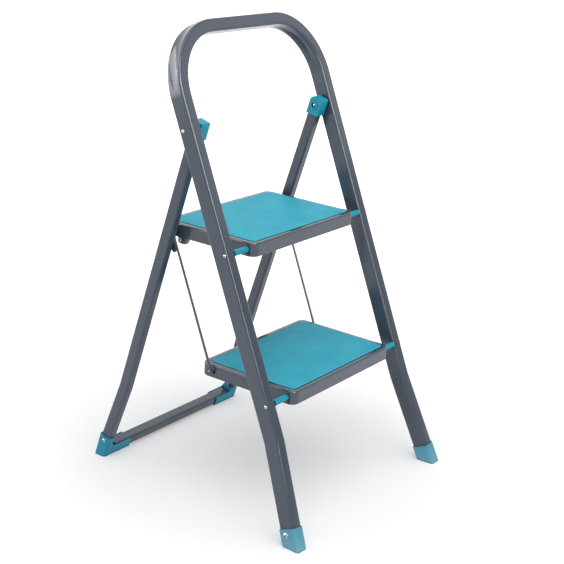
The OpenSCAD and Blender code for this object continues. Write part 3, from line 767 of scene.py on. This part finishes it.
class STOOL_OT_mats(bpy.types.Operator):
    """Moulds the two rubber mats"""

    bl_idname = "stool.mats"
    bl_label = "Mats"

    def execute(self, context):
        sizes = context.scene.stool_sizes
        for level in ("upper", "lower"):
            low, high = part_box(level + "_mat")
            piece = rounded_block(level + "_rubber", low, high, sizes.mat_corner, steps=8)
            round_top(piece, high.z, sizes.mat_edge, steps=3)
            # The rim of the mat overhangs its foot
            select_faces(piece, lambda face: face.normal.z < -0.9)
            width, under = high - low, 2 * sizes.mat_undercut
            bpy.ops.transform.resize(value=(1 - under / width.x, 1 - under / width.y, 1),
                                     center_override=(low + high) / 2)
            bpy.ops.object.mode_set(mode="OBJECT")
            smooth(piece, degrees=50)
            finish_piece(piece, level + "_tread", level + "_mat")
        return {"FINISHED"}


# ---------------------------------------------------------------- mouldings and hardware

class STOOL_OT_mouldings(bpy.types.Operator):
    """Rounds the edges of the feet, shoes, hinge caps and sleeves"""

    bl_idname = "stool.mouldings"
    bl_label = "Plastic mouldings"

    def execute(self, context):
        sizes = context.scene.stool_sizes
        for side in ("left", "right"):
            foot = merged_copy("front_foot_" + side, "foot_" + side)
            soften(foot, sizes.foot_edge, lambda edge: True)
            smooth(foot, degrees=40)
            finish_piece(foot, "front", "front_foot_" + side, "foot_plastic")

            shoe = merged_copy("rear_shoe_" + side, "shoe_" + side)
            soften(shoe, sizes.shoe_edge, lambda edge: edge.calc_length() > 2 * MM)
            smooth(shoe, degrees=40)
            finish_piece(shoe, "rear", "rear_shoe_" + side, "shoe_plastic")

            cap = merged_copy("hinge_cap_" + side, "cap_" + side)
            # The outer edges are well rounded, and those of the recess round the pin only a little
            soften(cap, sizes.cap_edge, lambda edge: (middle(edge) - HINGE).yz.length > 8.5 * MM
                   and edge.calc_length() > 1 * MM)
            soften(cap, sizes.recess_edge, lambda edge: (middle(edge) - HINGE).yz.length < 8 * MM)
            smooth(cap, degrees=40)
            finish_piece(cap, "rear", "hinge_cap_" + side)

            for level in ("upper", "lower"):
                node = level + "_sleeve_" + side
                sleeve = merged_copy(node, level + "_spacer_" + side)
                soften(sleeve, sizes.sleeve_edge, lambda edge: True)
                smooth(sleeve)
                finish_piece(sleeve, "front", node)
        return {"FINISHED"}


HARDWARE = {
    "front": ("front_foot_screws", "hinge_pins", "upper_axle", "lower_axle"),
    "rear": ("rear_shoe_screws", "rear_shoe_nuts", "crossbar_rivets", "hook_left", "hook_right",
             "hook_rivets"),
    "upper_tread": ("tie_rod", "tie_lugs", "link_stud_left", "link_stud_right", "upper_stiffener"),
    "lower_tread": ("lower_stiffener",),
    "link_left": ("link_rod_left", "link_clip_left"),
    "link_right": ("link_rod_right", "link_clip_right"),
}
# These take the darker copy of the plating, a painted shade for the dark parts that they reflect
SHADED_ZINC_PIECES = ("link_rod_left", "link_rod_right")


class STOOL_OT_hardware(bpy.types.Operator):
    """Finishes the rods, rivets, screws, hooks and ribs"""

    bl_idname = "stool.hardware"
    bl_label = "Hardware"

    def execute(self, context):
        edge_width = context.scene.stool_sizes.metal_edge
        for body, nodes in HARDWARE.items():
            for node in nodes:
                piece = merged_copy(node, node + "_made")
                soften(piece, edge_width, lambda edge: is_sharp(edge, 50), steps=2)
                smooth(piece, degrees=40)
                finish_piece(piece, body, node, "shaded_rod_zinc" if node in SHADED_ZINC_PIECES else None)
        return {"FINISHED"}


# ---------------------------------------------------------------- stage

class StoolStage(bpy.types.PropertyGroup):
    """Where the camera stands and how the studio is lit"""

    azimuth: FloatProperty(
        name="Azimuth", description="Direction from which the camera looks, from -Y towards +X",
        default=math.radians(-54.636), unit="ROTATION")
    elevation: FloatProperty(
        name="Elevation", description="Height angle of the camera",
        default=math.radians(18.607), unit="ROTATION")
    roll: FloatProperty(
        name="Roll", description="Tilt of the camera about its own axis", default=math.radians(3.547),
        unit="ROTATION")
    distance: FloatProperty(
        name="Distance", description="Camera from the point it looks at", default=2.1632, unit="LENGTH")
    target: FloatVectorProperty(
        name="Target", description="Point the camera looks at", default=(-0.0269, -0.0369, 0.3600), size=3,
        subtype="XYZ", unit="LENGTH")
    lens: FloatProperty(
        name="Focal length", description="Focal length of the lens in millimetres", default=80.71)
    ambient: FloatProperty(
        name="Ambient", description="Strength of the even light from all round", default=0.62)
    floor_glow: FloatProperty(
        name="Floor glow", description="Light that the paper floor adds at the stool's feet", default=0.22)
    top: FloatProperty(
        name="Top box", description="Brightness of the large box overhead", default=1.4)
    front: FloatProperty(
        name="Front strip", description="Brightness of the strip in front of the stool, in reflections",
        default=9.0)
    high: FloatProperty(
        name="High box", description="Brightness of the box over the camera, in reflections", default=4.5)
    side: FloatProperty(
        name="Side box", description="Brightness of the box on the stool's right", default=0.8)
    rear: FloatProperty(
        name="Rear strip", description="Brightness of the strip behind the stool on its left, in reflections",
        default=4.5)


def studio_world(ambient):
    """A world that is white to the camera, a lit room in reflections, and an even light otherwise."""
    world = bpy.data.worlds.new("studio")
    bpy.context.scene.world = world
    world.use_nodes = True
    tree = world.node_tree
    tree.nodes.clear()
    path = add_node(tree, "ShaderNodeLightPath").outputs
    # Reflections see a white backdrop behind the stool and a darker room in front of it
    towards = add_node(tree, "ShaderNodeTexCoord").outputs["Generated"]
    facing = add_node(tree, "ShaderNodeVectorMath", {0: towards, 1: (0.1, 0.99, 0.0)},
                      operation="DOT_PRODUCT")
    room = add_node(tree, "ShaderNodeMapRange", {
        "Value": facing.outputs["Value"], "From Min": -0.8, "From Max": 0.5, "To Min": 0.4, "To Max": 1.5},
        interpolation_type="SMOOTHSTEP")
    shine = add_node(tree, "ShaderNodeMix", {
        "Factor": path["Is Glossy Ray"], "A": ambient, "B": room.outputs["Result"]})
    seen = add_node(tree, "ShaderNodeMath", {0: path["Is Camera Ray"], 1: path["Is Transmission Ray"]},
                    operation="MAXIMUM")
    strength = add_node(tree, "ShaderNodeMix", {
        "Factor": seen.outputs[0], "A": shine.outputs["Result"], "B": 1.0})
    light = add_node(tree, "ShaderNodeBackground",
                     {"Color": linear("#ffffff"), "Strength": strength.outputs["Result"]})
    add_node(tree, "ShaderNodeOutputWorld", {"Surface": light.outputs["Background"]})


def studio_floor(stage, paper):
    """A pale seamless floor that keeps the stool's shadow, and whose painted glow brightens it to white away from
    the stool.
    """
    clear_selection()
    bpy.ops.mesh.primitive_plane_add(size=60)
    floor = bpy.context.object
    floor.name = floor.data.name = "floor"
    material, tree, shader = new_material("white_paper_sweep")
    shader.inputs["Base Color"].default_value = paper
    shader.inputs["Roughness"].default_value = 0.9
    shader.inputs["Specular IOR Level"].default_value = 0.0
    path = add_node(tree, "ShaderNodeLightPath").outputs
    place = add_node(tree, "ShaderNodeTexCoord").outputs["Object"]
    away = add_node(tree, "ShaderNodeVectorMath", {0: place}, operation="LENGTH")
    # The paper glows to the camera: a painted light, weak at the stool's feet and white further out
    rise = add_node(tree, "ShaderNodeMapRange", {
        "Value": away.outputs["Value"], "From Min": 0.28, "From Max": 1.6,
        "To Min": stage.floor_glow, "To Max": 1.0})
    # In reflections the paper's painted glow brightens sooner; both ranges are in metres from the stool's middle
    sheen = add_node(tree, "ShaderNodeMapRange", {
        "Value": away.outputs["Value"], "From Min": 0.2, "From Max": 0.7, "To Min": 0.3, "To Max": 0.7})
    shine = add_node(tree, "ShaderNodeMath", {0: path["Is Glossy Ray"], 1: sheen.outputs["Result"]},
                     operation="MULTIPLY")
    glow = add_node(tree, "ShaderNodeMath", {
        0: path["Is Camera Ray"], 1: rise.outputs["Result"], 2: shine.outputs[0]}, operation="MULTIPLY_ADD")
    white = add_node(tree, "ShaderNodeEmission", {"Color": linear("#ffffff"), "Strength": glow.outputs[0]})
    both = add_node(tree, "ShaderNodeAddShader", {0: shader.outputs[0], 1: white.outputs[0]})
    tree.links.new(both.outputs[0], tree.nodes["Material Output"].inputs["Surface"])
    floor.data.materials.append(material)
    return floor


def soft_box(name, place, aim, size, radiance, glint=False):
    """A large flat lamp that faces a point; a glint box shows only in reflections."""
    clear_selection()
    bpy.ops.object.light_add(type="AREA", location=place)
    lamp = bpy.context.object
    lamp.name = lamp.data.name = name
    lamp.rotation_euler = (Vector(aim) - Vector(place)).to_track_quat("-Z", "Y").to_euler()
    lamp.data.shape = "RECTANGLE"
    lamp.data.size, lamp.data.size_y = size
    lamp.data.energy = radiance * math.pi * size[0] * size[1]
    lamp.visible_camera = False
    lamp.visible_diffuse = not glint


def place_camera(stage):
    """Sets the camera by azimuth, elevation, roll and distance from its target."""
    clear_selection()
    bpy.ops.object.camera_add()
    camera = bpy.context.object
    a, e, r = stage.azimuth, stage.elevation, stage.roll
    back = Vector((math.sin(a) * math.cos(e), -math.cos(a) * math.cos(e), math.sin(e)))
    level = Vector((math.cos(a), math.sin(a), 0))
    upright = back.cross(level)
    right = math.cos(r) * level + math.sin(r) * upright
    up = math.cos(r) * upright - math.sin(r) * level
    axes = Matrix((right, up, back)).transposed().to_4x4()
    camera.matrix_world = Matrix.Translation(Vector(stage.target) + back * stage.distance) @ axes
    camera.data.sensor_width = 36.0
    camera.data.lens = stage.lens
    camera.data.clip_end = 50.0
    bpy.context.scene.camera = camera


class STOOL_OT_stage(bpy.types.Operator):
    """Sets up the floor, the lights and the camera"""

    bl_idname = "stool.stage"
    bl_label = "Studio"

    def execute(self, context):
        stage = context.scene.stool_stage
        context.scene.view_settings.view_transform = "Standard"
        studio_world(stage.ambient)
        studio_floor(stage, context.scene.stool_colours.paper)
        # Each box has its place, the point it faces, its width and height, and its brightness
        soft_box("top_box", (-0.6, -0.75, 2.8), (0, 0, 0.4), (3.0, 3.0), stage.top)
        soft_box("high_box", (-1.3, -1.5, 2.3), (0, 0, 0.6), (2.6, 2.4), stage.high, glint=True)
        soft_box("side_box", (2.0, -1.6, 1.6), (0, 0, 0.8), (1.2, 1.0), stage.side)
        soft_box("front_strip", (-0.9, -2.8, 2.1), (0, 0, 1.5), (1.3, 2.4), stage.front, glint=True)
        soft_box("rear_strip", (-1.5, 2.85, 2.25), (0.3, 0.65, 2.1), (2.7, 4.2), stage.rear, glint=True)
        place_camera(stage)
        return {"FINISHED"}


# ---------------------------------------------------------------- panel and registration

OPERATORS = (
    STOOL_OT_finishes, STOOL_OT_stage, STOOL_OT_front_tube, STOOL_OT_rear_tubes, STOOL_OT_pans,
    STOOL_OT_mats, STOOL_OT_mouldings, STOOL_OT_hardware,
)


class STOOL_PT_panel(bpy.types.Panel):
    """Lists the stool's sizes and colours and the steps that make it"""

    bl_label = "Folding Step Stool"
    bl_idname = "STOOL_PT_panel"
    bl_space_type = "VIEW_3D"
    bl_region_type = "UI"
    bl_category = "Stool"

    def draw(self, context):
        scene = context.scene
        for group in (scene.stool_sizes, scene.stool_colours, scene.stool_stage):
            box = self.layout.box()
            for name in group.__annotations__:
                box.prop(group, name)
        for operator in OPERATORS:
            self.layout.operator(operator.bl_idname)


CLASSES = (StoolSizes, StoolColours, StoolStage) + OPERATORS + (STOOL_PT_panel,)


def register():
    for cls in CLASSES:
        bpy.utils.register_class(cls)
    bpy.types.Scene.stool_sizes = PointerProperty(type=StoolSizes)
    bpy.types.Scene.stool_colours = PointerProperty(type=StoolColours)
    bpy.types.Scene.stool_stage = PointerProperty(type=StoolStage)


def unregister():
    del bpy.types.Scene.stool_stage
    del bpy.types.Scene.stool_colours
    del bpy.types.Scene.stool_sizes
    for cls in reversed(CLASSES):
        bpy.utils.unregister_class(cls)


def main():
    register()
    bpy.ops.stool.finishes()
    bpy.ops.stool.stage()
    bpy.ops.stool.front_tube()
    bpy.ops.stool.rear_tubes()
    bpy.ops.stool.pans()
    bpy.ops.stool.mats()
    bpy.ops.stool.mouldings()
    bpy.ops.stool.hardware()


if __name__ == "__main__":
    main()
